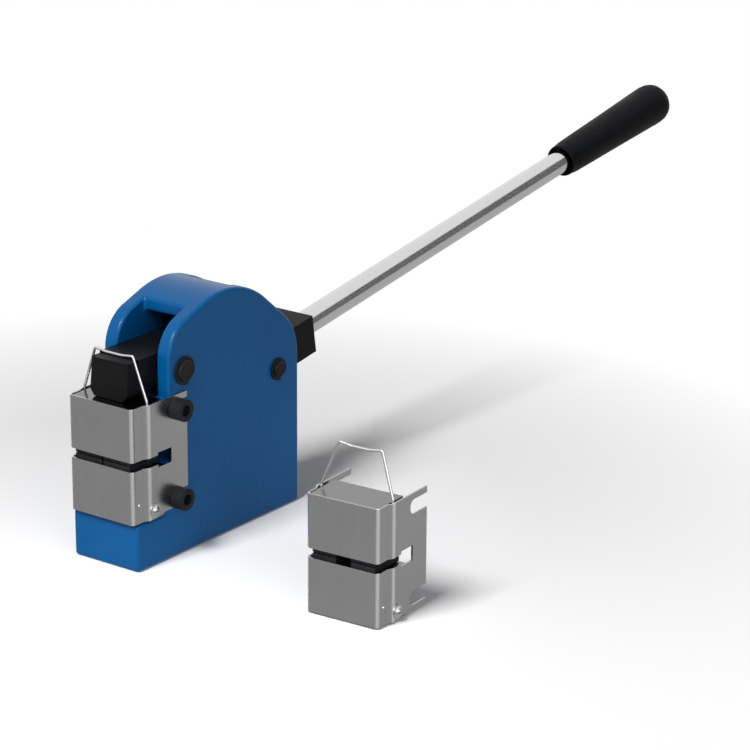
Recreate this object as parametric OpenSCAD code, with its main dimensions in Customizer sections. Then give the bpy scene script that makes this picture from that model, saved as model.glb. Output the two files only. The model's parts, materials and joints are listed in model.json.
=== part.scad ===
// Bench shrinker and stretcher for sheet metal edges: a cast body with two cheeks, a rocker worked by
// a hand lever, a stretcher jaw set on the machine and a shrinker jaw set standing beside it.
// Millimetres. X runs across the jaws, the jaws face -Y, the lever reaches to +Y and Z is up.
// The origin is the centre of the body's underside.

/* [Body casting] */
// Thickness of the body across the jaws
body_w = 60; // [54:1:80]
// Depth of the body from its lower front face to its rear face
body_d = 183; // [176:1:210]
// Height of the body at its crest
body_h = 184.6; // [182:0.2:200]
// Height of the ledge that a jaw set stands on
ledge_h = 35; // [28:1:45]
// Set-back of the cheeks from the lower front face
cheek_set = 36; // [33:0.5:39]
// Thickness of each cheek
cheek_t = 11.5; // [9:0.5:14]
// Height of the shoulder in front of the cheeks, below the top of a mounted jaw set
shoulder_drop = 3.8; // [3:0.2:6]
// Radius of the crest
crest_r = 72; // [66:1:74]
// Distance of the crest's centre behind the lower front face
crest_back = 99; // [96:1:102]
// Radius of the rear corner of the cheeks
rear_r = 40; // [34:1:44]
// Height of the centre of the rear corner
rear_corner_h = 117.7; // [112:0.5:122]
// Radius of the front corner of the cheeks
brow_r = 30; // [24:1:34]
// Height of the centre of the front corner
brow_h = 145.5; // [142:0.5:148]
// Distance of the bridge's front edge behind the lower front face
bridge_front = 67.4; // [62:0.2:74]
// Distance of the bridge's rear edge behind the lower front face
bridge_back = 115; // [108:1:122]
// Height of the underside of the bridge
bridge_under_h = 168.2; // [164:0.2:170]
// Distance of the seat's cross slot behind the housing's tall notch
seat_slot_more = 6; // [0:0.5:9]
// Height of the floor of the lever pocket
pocket_floor_h = 88; // [80:1:92]
// Distance of the lever pocket's front wall behind the lower front face
pocket_front = 74; // [72:1:80]

/* [Base holes] */
// Distance between the two tapped holes in the underside
base_hole_pitch = 100; // [60:5:130]
// Radius of each tapped base hole, at its drilled wall
base_hole_r = 4.25; // [3.4:0.05:5.1]
// Depth of each tapped base hole
base_hole_depth = 22; // [14:1:28]

/* [Pivot pins] */
// Radius of the front pivot pin
front_pin_r = 8; // [6:0.5:9]
// Distance of the front pivot pin behind the front edge of the cheeks
front_pin_back = 16.2; // [14:0.2:20]
// Radius of the rear pivot pin
rear_pin_r = 6; // [5:0.5:7]
// Distance of the rear pivot pin ahead of the rear face
rear_pin_ahead = 24.8; // [22:0.2:28]
// Length of pin that stands out of each cheek
pin_proud = 3.2; // [2.4:0.2:5]
// Chamfer on the pin ends
pin_chamfer = 0.8; // [0.4:0.1:1.2]
// Thickness of a retaining ring
ring_t = 1.2; // [0.8:0.1:1.5]
// Gap between a retaining ring and the cheek
ring_gap = 0.3; // [0.2:0.1:0.6]
// Depth of a ring groove in its pin
groove_depth = 0.6; // [0.3:0.1:1]
// Radial width of a retaining ring
ring_w = 3; // [2:0.2:3.4]
// Width of the opening in a retaining ring
ring_mouth = 7; // [5:0.5:8]

/* [Rocker] */
// Gap between the rocker and each cheek
rocker_side_gap = 0.6; // [0.3:0.1:1]
// Radius of the rocker's hub
rocker_hub_r = 18; // [16:0.5:18.4]
// Gap between the rocker's hub and the shoulder below it
rocker_hub_gap = 0.6; // [0.5:0.1:1]
// Height of the rocker's flat top above the front pivot
rocker_top_rise = 13.9; // [12:0.1:15]
// Reach of the rocker's nose ahead of the front pivot
nose_reach = 46.5; // [44:0.5:48]
// Reach of the point that presses the jaw block, ahead of the front pivot
foot_reach = 39.8; // [39.6:0.1:40.6]
// Radius of the rounded foot under the nose
foot_r = 90; // [86:1:92]
// Gap between the nose and the jaw block below it
foot_gap = 0.3; // [0.3:0.05:0.5]
// Reach of the wider arm ahead of the front pivot
arm_reach = 34; // [32:0.5:36]
// Width of the nose
nose_w = 33.5; // [30:0.5:34]
// Width of the nose's front face at its top, between two chamfers that run out at the foot
nose_face_w = 24.6; // [22:0.2:28]
// Depth of the two chamfers at the nose's top
nose_chamfer_d = 1.2; // [0.6:0.1:3]
// Lean of the nose's front face over its height
nose_lean = 2; // [1:0.2:5]
// Width of the bevel at each lower corner of the nose
nose_bevel_w = 4; // [3:0.5:8]
// Height of the bevel at each lower corner of the nose
nose_bevel_h = 5; // [2:0.5:6]
// Drop of the nose's top below the arm's top
nose_drop = 1; // [0.5:0.1:2]
// Wall of the rocker's bush
rocker_bush_wall = 2.5; // [1.5:0.1:3]

/* [Hand lever] */
// Pitch of the lever above level at rest
lever_pitch = 9; // [6:0.2:12]
// Swing of the lever from rest to fully raised
lever_swing = 35; // [20:1:36]
// Half height of the lever's head, which is also its hub radius
head_r = 14.7; // [13:0.1:15]
// Reach of the lever's head behind the rear pivot
head_reach = 61; // [55:1:70]
// Gap between the lever's head and each cheek
head_side_gap = 1; // [0.5:0.1:1.5]
// Distance of the toe's centre from the rear pivot
toe_arm = 24; // [22:0.5:25]
// Radius of the toe
toe_r = 9; // [8:0.2:9.6]
// Radius that the upper flank of the toe's arm runs from, which keeps it clear of the tail
toe_neck_r = 5; // [4:0.5:6]
// Gap between the toe and the rocker's tail
toe_gap = 0.4; // [0.35:0.05:0.6]
// Gap between the lowered toe and the pocket floor
toe_floor_gap = 5.6; // [4:0.2:8]
// Length of the rocker's tail beyond the toe's centre
tail_over = 4.6; // [3:0.2:5]
// Wall of the lever's bush
lever_bush_wall = 2; // [1.5:0.1:2.5]
// Radius of the lever bar
bar_r = 9.5; // [8:0.5:10.5]
// Distance of the bar's inner end behind the rear pivot
bar_start = 20; // [17:1:26]
// Reach of the whole lever behind the rear pivot
lever_reach = 585; // [450:5:700]
// Length of the grip
grip_len = 158; // [120:1:200]
// Radius of the grip near its mouth
grip_mouth_r = 13.6; // [12.6:0.2:16]
// Rounding of the grip's lip
grip_lip_round = 0.5; // [0.3:0.1:0.8]
// Radius of the recess in the grip's mouth
grip_recess_r = 11.8; // [11:0.1:12]
// Depth of the recess in the grip's mouth
grip_recess = 4; // [2:0.5:8]
// Largest radius of the grip, near its end
grip_end_r = 17.7; // [16.2:0.1:19]
// Thickness of the closed end of the grip
grip_end_t = 12; // [10:1:16]
// Radius of the lever's set screw
set_screw_r = 4; // [3:0.5:4]

/* [Jaw sets] */
// Distance of the housing's front corners inside the body's sides
housing_inset = 0.8; // [0.3:0.1:1.4]
// Height of the housing
housing_h = 85.8; // [84:0.2:90]
// Depth of the housing from its front to the rear edge of its side flanges
housing_d = 57; // [54:0.5:62]
// Thickness of the housing's sheet
sheet_t = 1.5; // [1:0.1:1.6]
// Outer radius of the housing's folded corners
fold_r = 3.5; // [3:0.1:4]
// Distance of the start of the outward jog behind the housing's front
jog_start = 11.5; // [10:0.5:12]
// Distance of the end of the outward jog behind the housing's front
jog_end = 15.5; // [14:0.5:15.5]
// Distance that the housing's front stands ahead of the body
housing_proud = 3.5; // [2:0.1:4.5]
// Distance that the lower block stands out below the housing
block_proud = 1; // [0.5:0.1:1.5]
// Gap between the housing and the jaw blocks
block_gap = 0.3; // [0.25:0.05:0.4]
// Depth of the jaw blocks
block_d = 31; // [30.5:0.5:33]
// Chamfer on the front corners of the jaw blocks
block_chamfer = 2.2; // [2:0.1:3]
// Distance of the upper block's top below the housing's top
block_drop = 0.5; // [0.3:0.1:1]
// Height of the throat's lower lip above the housing's bottom
throat_h0 = 39.6; // [38.6:0.1:40.6]
// Height of the throat between the housing's lips
throat_gap = 6.8; // [6:0.1:8]
// Depth of the throat in the housing's sides
throat_d = 26; // [25:0.5:27]
// Depth at which the tall notch behind the throat ends
notch_d = 39.4; // [37:0.1:41]
// Extra height of the tall notch, above and below the throat
notch_more = 2; // [1.5:0.1:2.6]
// Extra height of the gap between the two blocks, above and below the throat
block_more = 2.3; // [2:0.1:2.6]

/* [Housing flanges] */
// Height of the upper clamp slots above the housing's bottom
upper_slot_h = 76; // [74:0.2:77]
// Height of the lower clamp slots above the housing's bottom
lower_slot_h = 9.4; // [9:0.2:12]
// Width of the clamp slots
slot_w = 10.4; // [8.4:0.2:11]
// Depth of the clamp slots' closed ends behind the housing's front
slot_tip = 36; // [35:0.2:38]
// Rise of the flanges' lower edge toward the rear
flange_rise = 2.4; // [1.6:0.1:2.6]
// Depth at which the flanges' lower edge starts to rise
rise_start = 22; // [20:0.5:24]
// Depth at which the flanges' lower edge is fully risen
rise_end = 33; // [30:0.5:35]

/* [Clamp screws] */
// Distance of the clamp screws behind the housing's front
clamp_back = 44.5; // [43:0.5:48]
// Radius of the clamp screws' shanks
clamp_r = 5; // [4:0.5:5]
// Radius of the clamp screws' heads
clamp_head_r = 8; // [7:0.5:8]
// Height of the clamp screws' heads
clamp_head_h = 10; // [8:0.5:10]
// Length of the clamp screws' shanks
clamp_len = 12; // [9:0.5:16]
// Width across the flats of the clamp screws' sockets
clamp_hex = 8; // [6:0.5:8]
// Depth of the clamp screws' sockets
clamp_hex_depth = 5; // [4:0.5:6]

/* [Gripping dies] */
// Gap between the left and the right stretcher dies
stretch_gap = 1.6; // [1:0.2:4]
// Gap between the left and the right shrinker dies
shrink_gap = 12; // [8:0.5:14]
// Distance of the dies' outer edges inside the housing's outer width
die_edge = 4.2; // [3.8:0.1:4.8]
// Distance of the dies' rear ends ahead of the blocks' rear
die_rear_set = 0.4; // [0.3:0.1:3]
// Gap between the upper and the lower dies when closed
die_gap = 0.5; // [0.4:0.1:0.8]
// Slope of the inclined pocket floors
wedge_slope = 12; // [8:0.5:15]
// Travel of each die along its pocket
die_travel = 1.5; // [1:0.1:1.8]
// Clearance of a die in its pocket
die_clear = 0.35; // [0.3:0.05:0.4]
// Width of the keel under each die
keel_w = 10; // [8:0.5:11]
// Distance of a keel's front and rear inside those of its die
keel_end = 2.8; // [2.6:0.1:5]
// Depth of the lowest corner of a keel below the block's face
keel_h = 11; // [9:0.5:12]
// Distance of a keel from the end of its die's face
keel_margin = 2; // [1:0.1:2.5]
// Depth of the keeper pins below the block's face
keeper_drop = 4.5; // [3.6:0.1:5]
// Length of a die spring
spring_len = 7.4; // [6:0.2:7.6]
// Outer radius of a die spring
spring_r = 2.4; // [2:0.1:2.6]
// Wall of a die spring's sleeve shape
spring_wall = 0.8; // [0.5:0.1:1]
// Radius of a die keeper pin
keeper_r = 1.6; // [1.2:0.1:1.7]
// Wall of the block behind a die keeper pin
keeper_wall = 1.5; // [1.2:0.1:3]
// Pitch of the serrations on the gripping faces
tooth_pitch = 1.2; // [0.9:0.1:2]
// Depth of the serrations on the gripping faces
tooth_depth = 0.5; // [0.3:0.05:0.6]

/* [Wire bails] */
// Radius of the wire
wire_r = 1; // [0.7:0.05:1]
// Running clearance of the wire in the upper block
wire_clear = 0.05; // [0.03:0.01:0.08]
// Height of the wire's pivot below the upper block's top
bail_pivot_drop = 5; // [4:0.2:6]
// Distance of the wire's pivot behind the housing's front
bail_back = 17.3; // [17.2:0.1:19.8]
// Height of the bail's top bar above its pivot
bail_rise = 38.2; // [36:0.2:41]
// Length of the bail's top bar between its corners
bail_top_w = 34.6; // [34:0.2:40]
// Length of wire held in each side of the block
bail_foot = 6; // [4:0.5:8]
// Forward lean of the mounted bail
bail_lean = 1.2; // [0:0.1:4]
// Backward lean of the spare set's bail
spare_bail_lean = 8; // [0:0.5:9]

/* [Housing screws] */
// Depth of the housing screws behind the housing's front
case_screw_back = 20.5; // [19.5:0.5:23]
// Height of the housing screws above the housing's bottom
case_screw_h = 6.6; // [6:0.1:8]
// Radius of the housing screws' shanks
case_screw_r = 2; // [1.5:0.25:2.25]
// Length of the housing screws' shanks
case_screw_len = 10; // [7:0.5:12]
// Radius of the housing screws' round heads
case_head_r = 3.7; // [3.2:0.1:4]
// Height of the housing screws' round heads
case_head_h = 2.4; // [1.8:0.1:2.8]
// Radius of the housing screws' washers
case_washer_r = 5; // [4.4:0.1:5]
// Thickness of the housing screws' washers
case_washer_t = 0.8; // [0.6:0.1:1]
// Width of the driver slot in the housing screws
driver_slot_w = 0.9; // [0.7:0.1:1.1]
// Depth of the locating pins behind the housing's front
locator_back = 6.6; // [6:0.1:8]
// Height of the locating pins above the housing's bottom
locator_h = 13.5; // [12:0.5:16]
// Radius of the locating pins
locator_r = 1.5; // [1:0.1:1.8]
// Length of the locating pins
locator_len = 8; // [6:0.5:10]
// Length of locating pin that stands out of the housing
locator_proud = 0.7; // [0.4:0.1:1]

/* [Spare jaw set] */
// Distance of the spare set to the side of the machine
spare_x = 194.5; // [150:0.5:230]
// Distance of the spare set's front behind the body's lower front face
spare_back = 19; // [0:0.5:60]
// Turn of the spare set on the bench
spare_turn = 3.5; // [0:0.5:8]

/* [Hidden] */
$fn = 64;
// How far a cutting shape runs past the face it cuts
over = 1;

// Y of the body's lower front face
front_y = -body_d / 2;
// Height at which a mounted housing's bottom stands
set_h = ledge_h + block_proud;
shoulder_h = set_h + housing_h - shoulder_drop;
// Set-back of the face that the jaw blocks lean on
seat_set = sheet_t + 2 * block_gap + block_d - housing_proud;
slot_half = body_w / 2 - cheek_t;
rocker_half = slot_half - rocker_side_gap;
head_half = slot_half - head_side_gap;

front_pin_y = cheek_set + front_pin_back;
front_pin_h = shoulder_h + rocker_hub_gap + rocker_hub_r;
rear_pin_y = body_d - rear_pin_ahead;
toe_drop = toe_arm * sin(lever_swing / 2);
rear_pin_h = pocket_floor_h + toe_floor_gap + toe_r + toe_drop;
toe_y = rear_pin_y - toe_arm * cos(lever_swing / 2);
toe_h = rear_pin_h + toe_drop;
pad_h = toe_h + toe_r + toe_gap;
tail_y = toe_y + tail_over;
rocker_top_h = front_pin_h + rocker_top_rise;
block_top = housing_h - block_drop;
nose_foot_h = set_h + block_top + foot_gap;

// Places inside a jaw set, from the housing's bottom front
half_w = body_w / 2 - housing_inset;
inner_half = half_w - sheet_t;
flange_half = body_w / 2;
block_half = inner_half - block_gap;
block_rear_half = flange_half - block_gap;
block_front = sheet_t + block_gap;
block_rear = block_front + block_d;
throat_mid = throat_h0 + throat_gap / 2;
lower_face = throat_h0 - block_more;
die_face = throat_mid - die_gap / 2;
die_front = block_front + die_clear / 2;
die_d = block_rear - die_rear_set - die_front;
plate_under = lower_face + die_clear + die_travel * sin(wedge_slope);
keel_front = die_front + keel_end;
keel_d = die_d - 2 * keel_end;
keeper_len = block_d - keeper_wall;
bail_pivot_h = block_top - bail_pivot_drop;
bail_leg_x = (block_half + flange_half) / 2;
// Length that the wire runs past each bend, as a share of its radius
bend_share = 0.6;

// Stretcher dies start together and slide outward, shrinker dies start apart and slide inward
outward = 1;
inward = -1;

// Geometry shared by several pieces

function tangent_normal(a, b) =
    let (dy = b[0] - a[0], dz = b[1] - a[1], len = norm([dy, dz]), along = (a[2] - b[2]) / len,
         up = sqrt(1 - along * along))
    [(along * dy - up * dz) / len, (along * dz + up * dy) / len];

function on_circle(c, n) = [c[0] + c[2] * n[0], c[1] + c[2] * n[1]];

// Radius share by which a filling stands clear of its circles, so that the outlines cross
tangent_share = 1.0004;

// A flat filling between two circles, bounded by their common upper tangent
module tangent_fill(a, b) {
    n = tangent_share * tangent_normal(a, b);
    polygon([[a[0], a[1]], on_circle(a, n), on_circle(b, n), [b[0], b[1]]]);
}

module disc_at(c) {
    translate([c[0], c[1]]) circle(r = c[2]);
}

// Turns a flat shape drawn as depth and height into a plate across X, centred on the middle plane
module across(width) {
    rotate([90, 0, 90]) linear_extrude(width, center = true) children();
}

// Moves pieces drawn from the body's lower front face into the frame
module from_front() {
    translate([0, front_y, 0]) children();
}

module on_machine() {
    translate([0, front_y - housing_proud, set_h]) children();
}

module on_bench() {
    translate([spare_x, front_y + spare_back, block_proud]) rotate([0, 0, spare_turn]) children();
}

module both_sides() {
    children();
    mirror([1, 0, 0]) children();
}

// A rod along +X from the plane x0
module rod_x(x0, len, r) {
    translate([x0, 0, 0]) rotate([0, 90, 0]) cylinder(h = len, r = r);
}

// Body casting

module cheek_slab(width) {
    across(width) intersection() {
        children();
        translate([cheek_set, shoulder_h - over]) square([body_d - cheek_set, body_h]);
    }
}

module body_blank() {
    brow = [cheek_set + brow_r, brow_h, brow_r];
    crest = [crest_back, body_h - crest_r, crest_r];
    rear = [body_d - rear_r, rear_corner_h, rear_r];
    cheek_slab(body_w) disc_at(brow);
    cheek_slab(body_w) disc_at(crest);
    cheek_slab(body_w) disc_at(rear);
    cheek_slab(body_w) tangent_fill(brow, crest);
    cheek_slab(body_w) tangent_fill(crest, rear);
    across(body_w) translate([seat_set, 0]) square([body_d - seat_set, shoulder_h]);
    across(body_w) square([body_d, ledge_h]);
}

module rocker_slot_outline() {
    top = body_h + over;
    polygon([
        [cheek_set - over, shoulder_h], [pocket_front, shoulder_h], [pocket_front, pocket_floor_h],
        [body_d + over, pocket_floor_h], [body_d + over, top], [bridge_back, top],
        [bridge_back, bridge_under_h], [bridge_front, bridge_under_h], [bridge_front, top],
        [cheek_set - over, top]
    ]);
}

// Slot across the seat behind the jaws, in line with the tall notch of the housing
module seat_slot_outline() {
    translate([0, set_h + throat_h0 - notch_more])
        square([notch_d - housing_proud + seat_slot_more, throat_gap + 2 * notch_more]);
}

module clamp_holes() {
    both_sides()
        for (h = [upper_slot_h, lower_slot_h])
            translate([0, clamp_back - housing_proud, set_h + h])
                rod_x(body_w / 2 + sheet_t - clamp_len - over, clamp_len + over, clamp_r);
}

module body_casting() {
    color("steelblue") from_front() difference() {
        body_blank();
        across(2 * slot_half) rocker_slot_outline();
        across(2 * body_w) seat_slot_outline();
        translate([0, front_pin_y, front_pin_h]) rod_x(-body_w, 2 * body_w, front_pin_r);
        translate([0, rear_pin_y, rear_pin_h]) rod_x(-body_w, 2 * body_w, rear_pin_r);
        clamp_holes();
        for (side = [-1, 1])
            translate([0, body_d / 2 + side * base_hole_pitch / 2, -over])
                cylinder(h = base_hole_depth + over, r = base_hole_r);
    }
}

// Pivot pins and their rings

module pivot_pin(r) {
    half = body_w / 2 + pin_proud;
    groove = body_w / 2 + ring_gap;
    difference() {
        union() {
            rod_x(-half + pin_chamfer, 2 * (half - pin_chamfer), r);
            both_sides()
                translate([half - pin_chamfer, 0, 0]) rotate([0, 90, 0])
                    cylinder(h = pin_chamfer, r1 = r, r2 = r - pin_chamfer);
        }
        both_sides() difference() {
            rod_x(groove, ring_t, r + over);
            rod_x(groove - over, ring_t + 2 * over, r - groove_depth);
        }
    }
}

module pin_rings(r) {
    both_sides() difference() {
        rod_x(body_w / 2 + ring_gap, ring_t, r - groove_depth + ring_w);
        rod_x(body_w / 2, ring_t + 2 * over, r - groove_depth);
        rotate([-45, 0, 0])
            translate([body_w / 2, 0, -ring_mouth / 2]) cube([ring_t + 2 * over, 4 * r, ring_mouth]);
    }
}

module at_front_pin() {
    from_front() translate([0, front_pin_y, front_pin_h]) children();
}

module at_rear_pin() {
    from_front() translate([0, rear_pin_y, rear_pin_h]) children();
}

module front_pivot_pin() {
    color([0.1, 0.1, 0.11]) at_front_pin() pivot_pin(front_pin_r);
}

module rear_pivot_pin() {
    color([0.1, 0.1, 0.11]) at_rear_pin() pivot_pin(rear_pin_r);
}

module front_pin_rings() {
    color([0.06, 0.06, 0.07]) at_front_pin() pin_rings(front_pin_r);
}

module rear_pin_rings() {
    color([0.06, 0.06, 0.07]) at_rear_pin() pin_rings(rear_pin_r);
}

// Rocker

// Running clearance of a pivot pin in its bush
pin_clear = 0.05;

module rocker_outline() {
    under = front_pin_h - rocker_hub_r;
    union() {
        polygon([
            [front_pin_y - arm_reach, front_pin_h], [front_pin_y - arm_reach, rocker_top_h],
            [tail_y, rocker_top_h], [tail_y, pad_h], [front_pin_y + 2 * rocker_hub_r, pad_h],
            [front_pin_y, under]
        ]);
        intersection() {
            translate([front_pin_y, front_pin_h]) circle(r = rocker_hub_r);
            translate([front_pin_y - rocker_hub_r - over, under - over])
                square([2 * (rocker_hub_r + over), rocker_top_h - under + over]);
        }
    }
}

module nose_outline() {
    nose_y = front_pin_y - nose_reach;
    foot_y = front_pin_y - foot_reach;
    top = rocker_top_h - nose_drop;
    intersection() {
        polygon([
            [nose_y, nose_foot_h], [nose_y + nose_lean, top], [front_pin_y, top],
            [front_pin_y, nose_foot_h]
        ]);
        translate([foot_y, nose_foot_h + foot_r]) circle(r = foot_r);
    }
}

module nose_front_outline(half, top) {
    polygon([
        [nose_bevel_w - half, nose_foot_h], [half - nose_bevel_w, nose_foot_h],
        [half, nose_foot_h + nose_bevel_h], [half, top], [-half, top],
        [-half, nose_foot_h + nose_bevel_h]
    ]);
}

// Cuts the chamfer that is widest at the nose's top and runs out at the foot
module nose_chamfer(half, top) {
    side = half - nose_face_w / 2;
    turn = atan2(nose_chamfer_d, side);
    fall = side * sin(turn) + nose_lean * cos(turn);
    translate([nose_face_w / 2, front_pin_y - nose_reach + nose_lean, top]) rotate([0, 0, turn])
        rotate([-atan2(fall, top - nose_foot_h), 0, 0]) translate([-half, -half, -2 * half])
            cube([2 * half, half, 3 * half]);
}

module rocker_arm() {
    top = rocker_top_h - nose_drop;
    half = nose_w / 2;
    color([0.09, 0.09, 0.1]) from_front() difference() {
        union() {
            across(2 * rocker_half) rocker_outline();
            difference() {
                intersection() {
                    across(2 * rocker_half) nose_outline();
                    translate([0, front_pin_y, 0]) rotate([90, 0, 0])
                        linear_extrude(nose_reach + over) nose_front_outline(half, top);
                }
                both_sides() nose_chamfer(half, top);
            }
        }
        translate([0, front_pin_y, front_pin_h])
            rod_x(-body_w, 2 * body_w, front_pin_r + pin_clear + rocker_bush_wall);
    }
}

module bush(r, wall, half) {
    difference() {
        rod_x(-half, 2 * half, r + pin_clear + wall);
        rod_x(-half - over, 2 * (half + over), r + pin_clear);
    }
}

module rocker_bush() {
    color("darkgoldenrod") at_front_pin() bush(front_pin_r, rocker_bush_wall, rocker_half);
}

// Hand lever

module head_blank() {
    hub = [0, 0, head_r];
    toe = [-toe_arm * cos(lever_swing / 2), toe_drop, toe_r];
    under_toe = [toe[0], -toe[1], toe[2]];
    across(2 * head_half) disc_at(hub);
    across(2 * head_half) disc_at(toe);
    across(2 * head_half) tangent_fill([toe[0], toe[1], toe_neck_r], hub);
    across(2 * head_half) mirror([0, 1]) tangent_fill(under_toe, hub);
    across(2 * head_half) rotate(lever_pitch) translate([0, -head_r])
        square([head_reach, 2 * head_r]);
}

// Moves pieces drawn along +Y from the rear pivot on to the pitched lever
module on_lever() {
    at_rear_pin() rotate([lever_pitch, 0, 0]) children();
}

module along_lever(start, len, r) {
    translate([0, start, 0]) rotate([-90, 0, 0]) cylinder(h = len, r = r);
}

set_screw_back = (bar_start + head_reach) / 2;

module lever_head() {
    color([0.09, 0.09, 0.1]) difference() {
        at_rear_pin() head_blank();
        at_rear_pin() rod_x(-body_w, 2 * body_w, rear_pin_r + pin_clear + lever_bush_wall);
        on_lever() along_lever(bar_start, head_reach, bar_r);
        on_lever() translate([0, set_screw_back, -head_r - over]) cylinder(h = head_r, r = set_screw_r);
    }
}

module lever_bush() {
    color("darkgoldenrod") at_rear_pin() bush(rear_pin_r, lever_bush_wall, head_half);
}

module lever_set_screw() {
    len = head_r - bar_r;
    color([0.15, 0.15, 0.16]) on_lever() translate([0, set_screw_back, -head_r]) difference() {
        cylinder(h = len, r = set_screw_r);
        translate([0, 0, -over]) cylinder(h = len / 2 + over, r = set_screw_r / 2, $fn = 6);
        translate([0, 0, head_r]) rotate([-90, 0, 0])
            translate([0, 0, -set_screw_r - over]) cylinder(h = 2 * (set_screw_r + over), r = bar_r);
    }
}

module lever_bar() {
    color("gainsboro") on_lever()
        along_lever(bar_start, lever_reach - grip_end_t - bar_start, bar_r);
}

// Shares of the grip's length at which its outline changes, and the end's rounding steps
grip_lip_share = 0.06;
grip_waist_share = 0.16;
grip_swell_share = 0.88;
grip_end_steps = 8;

module lever_grip() {
    start = lever_reach - grip_len;
    lip_r = (grip_recess_r + grip_mouth_r) / 2;
    round_r = grip_end_r - (grip_end_r - bar_r) / 3;
    round_at = grip_len - round_r;
    color([0.07, 0.07, 0.08]) on_lever() difference() {
        translate([0, start, 0]) rotate([-90, 0, 0]) rotate_extrude() polygon(concat(
            [[0, 0], [lip_r, 0], [grip_mouth_r - grip_lip_round, grip_lip_share * grip_len / 2],
             [grip_mouth_r, grip_lip_share * grip_len],
             [grip_mouth_r + (grip_end_r - grip_mouth_r) / 4, grip_waist_share * grip_len],
             [grip_end_r, grip_swell_share * grip_len]],
            [for (i = [0:grip_end_steps])
                let (a = 90 * i / grip_end_steps)
                [grip_end_r * cos(a), round_at + round_r * sin(a)]]
        ));
        along_lever(start - over, grip_len - grip_end_t + over, bar_r);
        along_lever(start - over, grip_recess + over, grip_recess_r);
    }
}

// Jaw set housings

module fold_ring() {
    translate([half_w - fold_r, fold_r]) intersection() {
        difference() {
            circle(r = fold_r);
            circle(r = fold_r - sheet_t);
        }
        translate([0, -fold_r]) square([fold_r, fold_r]);
    }
}

module housing_half_plan() {
    square([half_w - fold_r, sheet_t]);
    fold_ring();
    translate([inner_half, fold_r]) square([sheet_t, jog_start - fold_r]);
    polygon([
        [inner_half, jog_start], [half_w, jog_start], [flange_half + sheet_t, jog_end],
        [flange_half, jog_end]
    ]);
    translate([flange_half, jog_end]) square([sheet_t, housing_d - jog_end]);
}

// Cuts seen from the side: the throat, its tall notch, the clamp slots and the risen lower edge
module housing_side_cuts() {
    translate([-over, throat_h0]) square([throat_d + over, throat_gap]);
    translate([throat_d - over, throat_h0 - notch_more])
        square([notch_d - throat_d + over, throat_gap + 2 * notch_more]);
    for (h = [upper_slot_h, lower_slot_h]) {
        translate([slot_tip + slot_w / 2, h]) circle(r = slot_w / 2);
        translate([slot_tip + slot_w / 2, h - slot_w / 2]) square([housing_d, slot_w]);
    }
    polygon([
        [rise_start, -over], [rise_start, 0], [rise_end, flange_rise],
        [housing_d + over, flange_rise], [housing_d + over, -over]
    ]);
}

module housing() {
    difference() {
        linear_extrude(housing_h) {
            housing_half_plan();
            mirror([1, 0]) housing_half_plan();
        }
        across(2 * body_w) housing_side_cuts();
        both_sides() {
            translate([0, case_screw_back, case_screw_h]) rod_x(inner_half, body_w, case_screw_r);
            translate([0, locator_back, locator_h]) rod_x(0, body_w, locator_r);
        }
    }
}

module housing_screws() {
    seat = flange_half + sheet_t + case_washer_t;
    dome_r = (case_head_r * case_head_r + case_head_h * case_head_h) / (2 * case_head_h);
    both_sides() translate([seat, case_screw_back, case_screw_h]) difference() {
        rotate([0, 90, 0]) rotate_extrude() {
            translate([0, -case_screw_len]) square([case_screw_r, case_screw_len]);
            intersection() {
                translate([0, case_head_h - dome_r]) circle(r = dome_r);
                square([case_head_r + over, case_head_h + over]);
            }
        }
        translate([case_head_h / 2, -case_head_r - over, -driver_slot_w / 2])
            cube([case_head_h, 2 * (case_head_r + over), driver_slot_w]);
    }
}

module housing_washers() {
    both_sides() translate([0, case_screw_back, case_screw_h]) difference() {
        rod_x(flange_half + sheet_t, case_washer_t, case_washer_r);
        rod_x(flange_half, body_w, case_screw_r);
    }
}

module locating_pins() {
    tip = half_w + locator_proud;
    both_sides() translate([0, locator_back, locator_h]) {
        rod_x(tip - locator_len, locator_len - locator_r / 3, locator_r);
        translate([tip - locator_r / 3, 0, 0]) rotate([0, 90, 0])
            cylinder(h = locator_r / 3, r1 = locator_r, r2 = locator_r * 2 / 3);
    }
}

// Places of one die, on the right-hand side of the lower block

die_outer = half_w - die_edge;
function die_inner(way) = (way == outward ? stretch_gap : shrink_gap) / 2;
// Inner edge of the keel, which stands at the end of the face that the die moves away from
function keel_inner(way) =
    way == outward ? die_inner(way) + keel_margin : die_outer - keel_margin - keel_w;
// Height of the inclined floor, which falls in the direction that the die moves
function floor_at(way, x) =
    let (deep = way == outward ? keel_inner(way) + keel_w : keel_inner(way))
    lower_face - keel_h + tan(wedge_slope) * way * (deep - x);
function pocket_inner(way) = keel_inner(way) - die_clear - (way == inward ? spring_len : 0);
function pocket_outer(way) =
    keel_inner(way) + keel_w + die_clear + (way == outward ? spring_len : 0);
function keeper_x(way) = keel_inner(way) + keel_w / 2;
keeper_h = lower_face - keeper_drop;

// Turns a flat shape drawn as width and height into a solid that runs along Y
module along_y(start, len) {
    translate([0, start + len, 0]) rotate([90, 0, 0]) linear_extrude(len) children();
}

module lower_pocket(way) {
    a = pocket_inner(way);
    b = pocket_outer(way);
    along_y(keel_front - die_clear, keel_d + 2 * die_clear) polygon([
        [a, floor_at(way, a) - die_clear], [b, floor_at(way, b) - die_clear],
        [b, lower_face + over], [a, lower_face + over]
    ]);
}

module keeper_hole(way) {
    translate([keeper_x(way), 0, keeper_h]) rotate([-90, 0, 0])
        cylinder(h = block_front + die_clear + keeper_len, r = keeper_r);
}

module lower_pockets(way) {
    both_sides() {
        lower_pocket(way);
        keeper_hole(way);
    }
}

// Turns what is drawn for the lower block into the same for the upper block
module as_upper() {
    translate([0, 0, 2 * throat_mid]) mirror([0, 0, 1]) children();
}

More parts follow.
